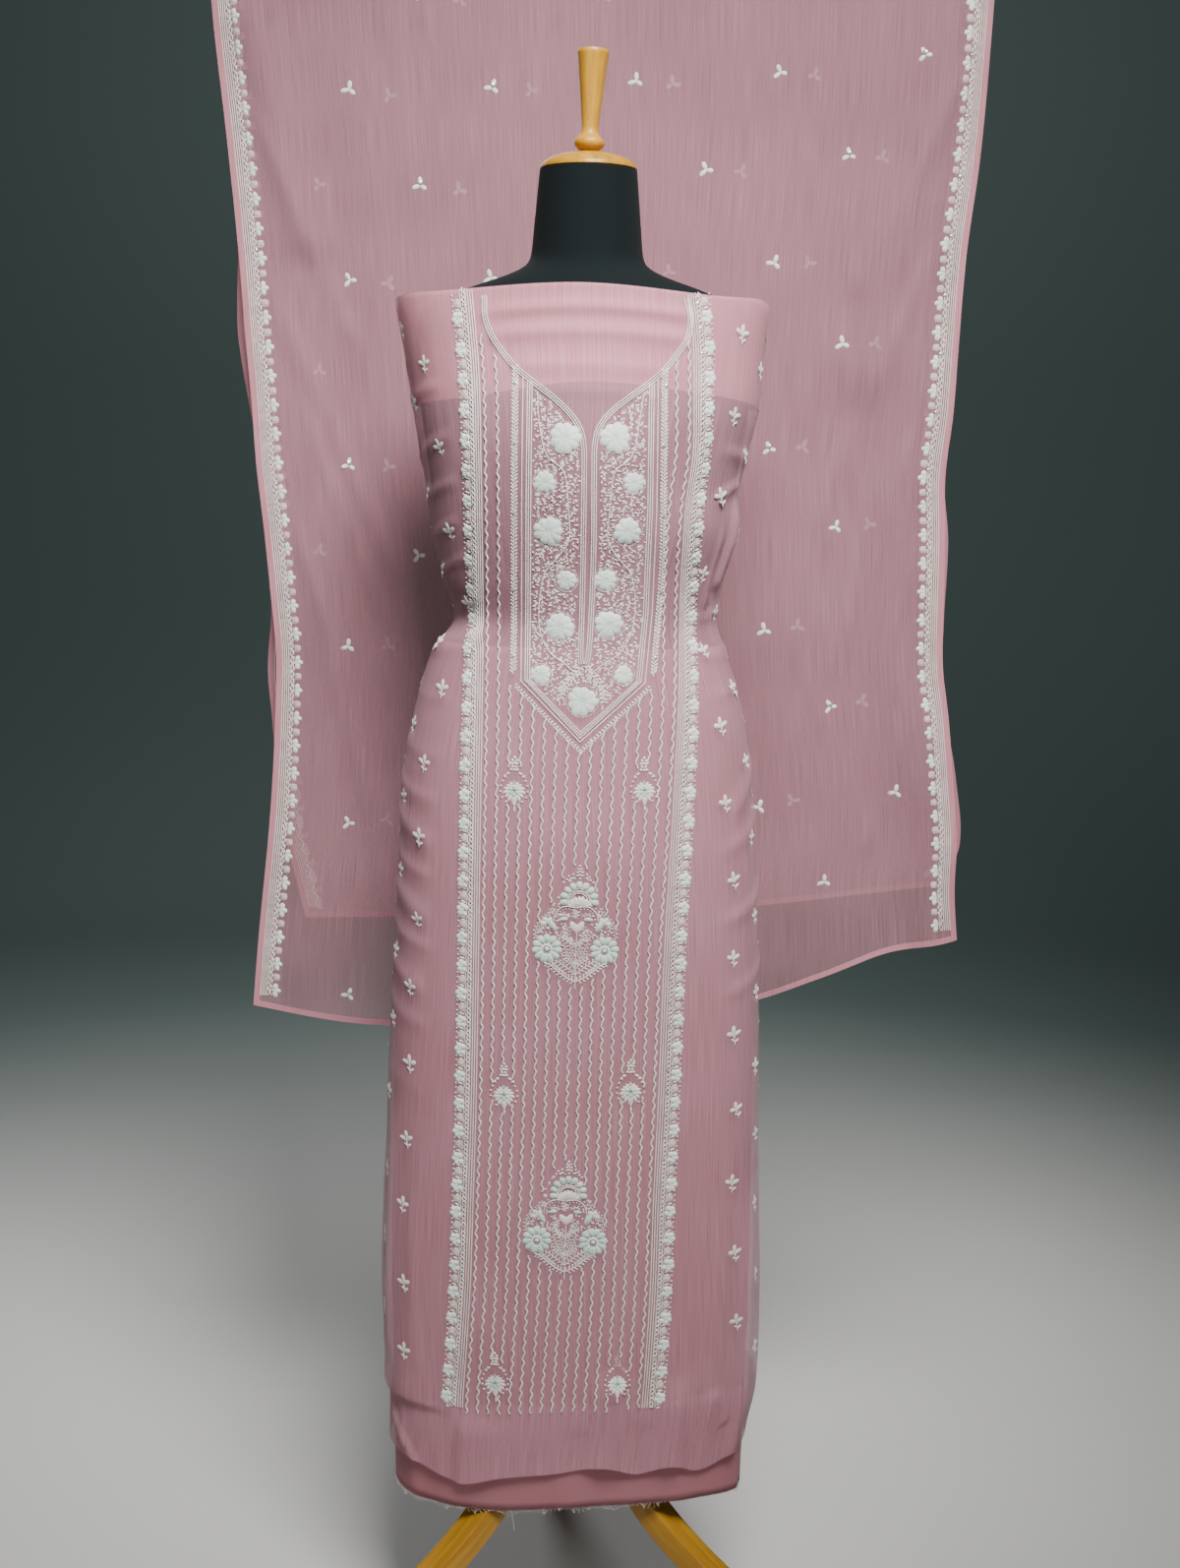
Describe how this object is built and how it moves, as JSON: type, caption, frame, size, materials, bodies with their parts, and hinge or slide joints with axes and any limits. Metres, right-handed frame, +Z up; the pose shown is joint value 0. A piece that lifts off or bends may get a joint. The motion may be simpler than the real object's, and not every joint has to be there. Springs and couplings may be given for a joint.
{
  "type": "salwar kameez suit on dress form",
  "caption": "Unstitched salwar kameez suit wound on a limbless dress form with bent wooden legs, its dupatta hanging doubled over a rail behind.",
  "frame": {"origin": "centre of the bounding box in X and Y, on the floor that the three feet stand on", "axes": "+Z up, the suit faces -Y, +X is the viewer's right"},
  "size_m": [1.0126, 0.512, 1.915],
  "materials": {
    "georgette": "sheer crinkled georgette",
    "bottom_fabric": "plain matt cloth",
    "jersey": "black jersey",
    "wood": "clear varnish",
    "steel": "brushed"
  },
  "bodies": {
    "root": {"kameez_cloth": "georgette", "kameez_turned_top": "georgette", "bottom_cloth": "bottom_fabric", "dupatta": "georgette", "form_torso": "jersey", "neck_cap": "wood", "finial_handle": "wood", "stand_pole": "wood", "leg_hub": "wood", "leg_left": "wood", "leg_right": "wood", "leg_back": "wood", "dupatta_rail": "steel", "rail_socket_left": "steel", "rail_socket_right": "steel"}
  },
  "joints": []
}
